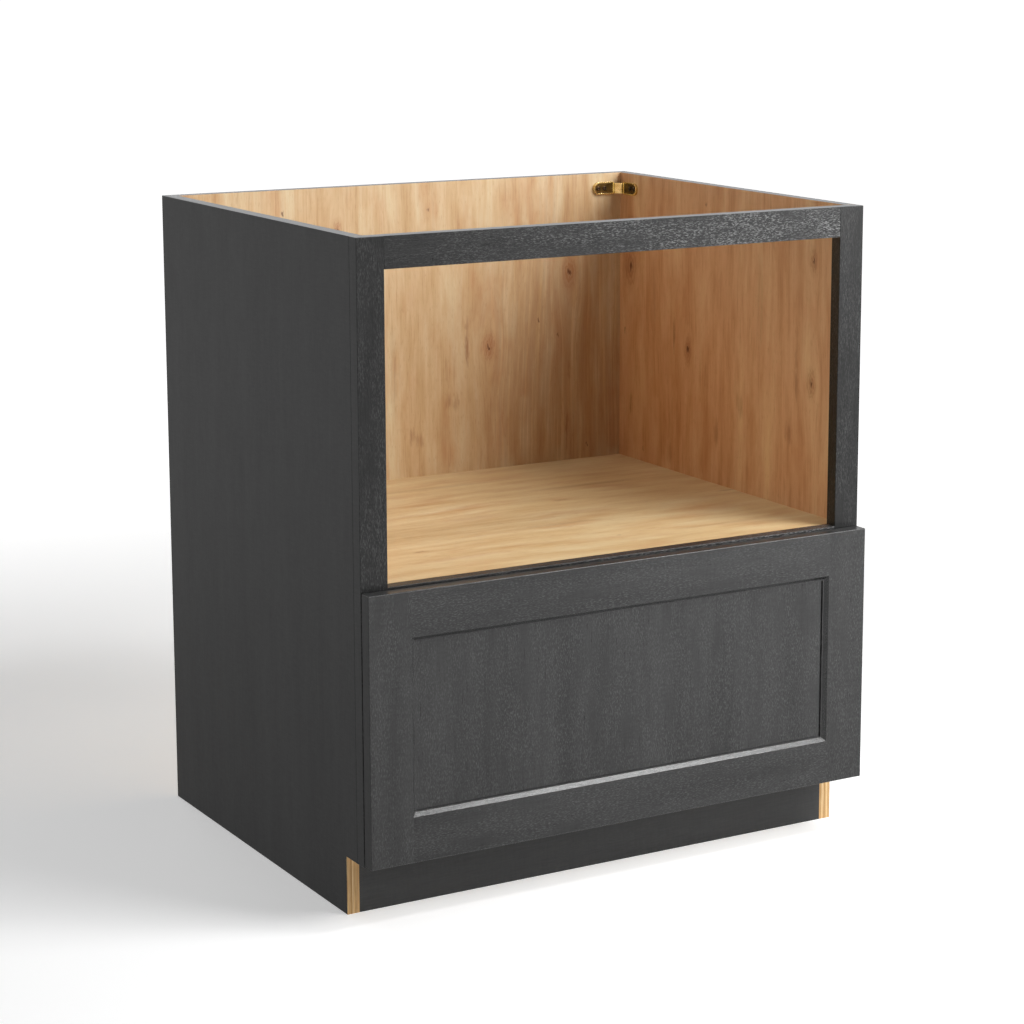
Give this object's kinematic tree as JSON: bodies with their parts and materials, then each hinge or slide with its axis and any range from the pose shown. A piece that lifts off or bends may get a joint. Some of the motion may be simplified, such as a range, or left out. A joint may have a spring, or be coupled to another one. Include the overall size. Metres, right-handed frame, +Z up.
{
  "type": "microwave base cabinet",
  "caption": "Face-frame kitchen base cabinet with an open microwave niche, an open top and one wide full-extension drawer below.",
  "frame": {"origin": "middle of the footprint, drawer front included, on the floor", "axes": "+X to the right seen from the front, +Y towards the wall, +Z up; the drawer opens towards -Y"},
  "size_m": [0.762, 0.6296, 0.8763],
  "materials": {
    "side_panel_charcoal": "stained and lacquered, fine vertical grain",
    "maple_plywood": "clear lacquered maple plywood",
    "toe_board_charcoal": "stained and lacquered, grain along the board",
    "frame_charcoal": "stained and lacquered hardwood",
    "beech_dowel": "plain turned beech",
    "brass_plated_steel": "brass plated pressed steel",
    "bronzed_screw": "dark bronzed steel",
    "drawer_front_charcoal": "stained and lacquered hardwood",
    "clear_rubber": "clear soft bumper",
    "birch_box": "clear lacquered birch",
    "birch_plywood": "clear lacquered birch plywood",
    "zinc_steel": "zinc plated sheet steel",
    "nylon": "natural nylon",
    "grey_plastic": "moulded light grey plastic",
    "dark_plastic": "moulded dark grey plastic",
    "orange_plastic": "moulded orange plastic",
    "zinc_screw": "zinc plated steel"
  },
  "bodies": {
    "cabinet": {"left_side_panel": "side_panel_charcoal", "right_side_panel": "side_panel_charcoal", "back_panel": "maple_plywood", "niche_floor": "maple_plywood", "bottom_panel": "maple_plywood", "toe_board": "toe_board_charcoal", "frame_left_stile": "frame_charcoal", "frame_right_stile": "frame_charcoal", "frame_top_rail": "frame_charcoal", "frame_middle_rail": "frame_charcoal", "frame_bottom_rail": "frame_charcoal", "frame_dowels": "beech_dowel", "front_left_bracket": "brass_plated_steel", "front_right_bracket": "brass_plated_steel", "back_left_bracket": "brass_plated_steel", "back_right_bracket": "brass_plated_steel", "bracket_screws": "bronzed_screw", "left_cabinet_member": "zinc_steel", "right_cabinet_member": "zinc_steel", "left_rear_bracket": "grey_plastic", "right_rear_bracket": "grey_plastic", "slide_screws": "zinc_screw"},
    "drawer": {"drawer_left_stile": "drawer_front_charcoal", "drawer_right_stile": "drawer_front_charcoal", "drawer_top_rail": "drawer_front_charcoal", "drawer_bottom_rail": "drawer_front_charcoal", "drawer_panel": "drawer_front_charcoal", "drawer_bumpers": "clear_rubber", "box_left_side": "birch_box", "box_right_side": "birch_box", "box_front": "birch_box", "box_back": "birch_box", "box_bottom": "birch_plywood", "drawer_front_screws": "zinc_screw", "left_drawer_member": "zinc_steel", "right_drawer_member": "zinc_steel", "left_clip_plate": "dark_plastic", "right_clip_plate": "dark_plastic", "clip_screws": "zinc_screw"},
    "left_middle_slide": {"left_middle_member": "zinc_steel", "left_roller_cages": "nylon"},
    "right_middle_slide": {"right_middle_member": "zinc_steel", "right_roller_cages": "nylon"},
    "left_lever": {"left_release_lever": "orange_plastic"},
    "right_lever": {"right_release_lever": "orange_plastic"}
  },
  "joints": [
    {"name": "drawer_slide", "type": "slide", "parent": "cabinet", "child": "drawer", "axis": [0, -1, 0], "range_m": [0, 0.51]},
    {"name": "left_middle_travel", "type": "slide", "parent": "cabinet", "child": "left_middle_slide", "axis": [0, -1, 0], "range_m": [0, 0.255]},
    {"name": "right_middle_travel", "type": "slide", "parent": "cabinet", "child": "right_middle_slide", "axis": [0, -1, 0], "range_m": [0, 0.255]},
    {"name": "left_lever_release", "type": "hinge", "parent": "drawer", "child": "left_lever", "pos_m": [-0.2804, -0.2438, 0.137], "axis": [0, 0, 1], "range_deg": [0, 12], "stiffness_Nm_per_rad": 0.4},
    {"name": "right_lever_release", "type": "hinge", "parent": "drawer", "child": "right_lever", "pos_m": [0.2804, -0.2438, 0.137], "axis": [0, 0, -1], "range_deg": [0, 12], "stiffness_Nm_per_rad": 0.4}
  ],
  "couplings": [
    {"joint": "left_middle_travel", "follows": "drawer_slide", "ratio": 0.5},
    {"joint": "right_middle_travel", "follows": "drawer_slide", "ratio": 0.5}
  ]
}
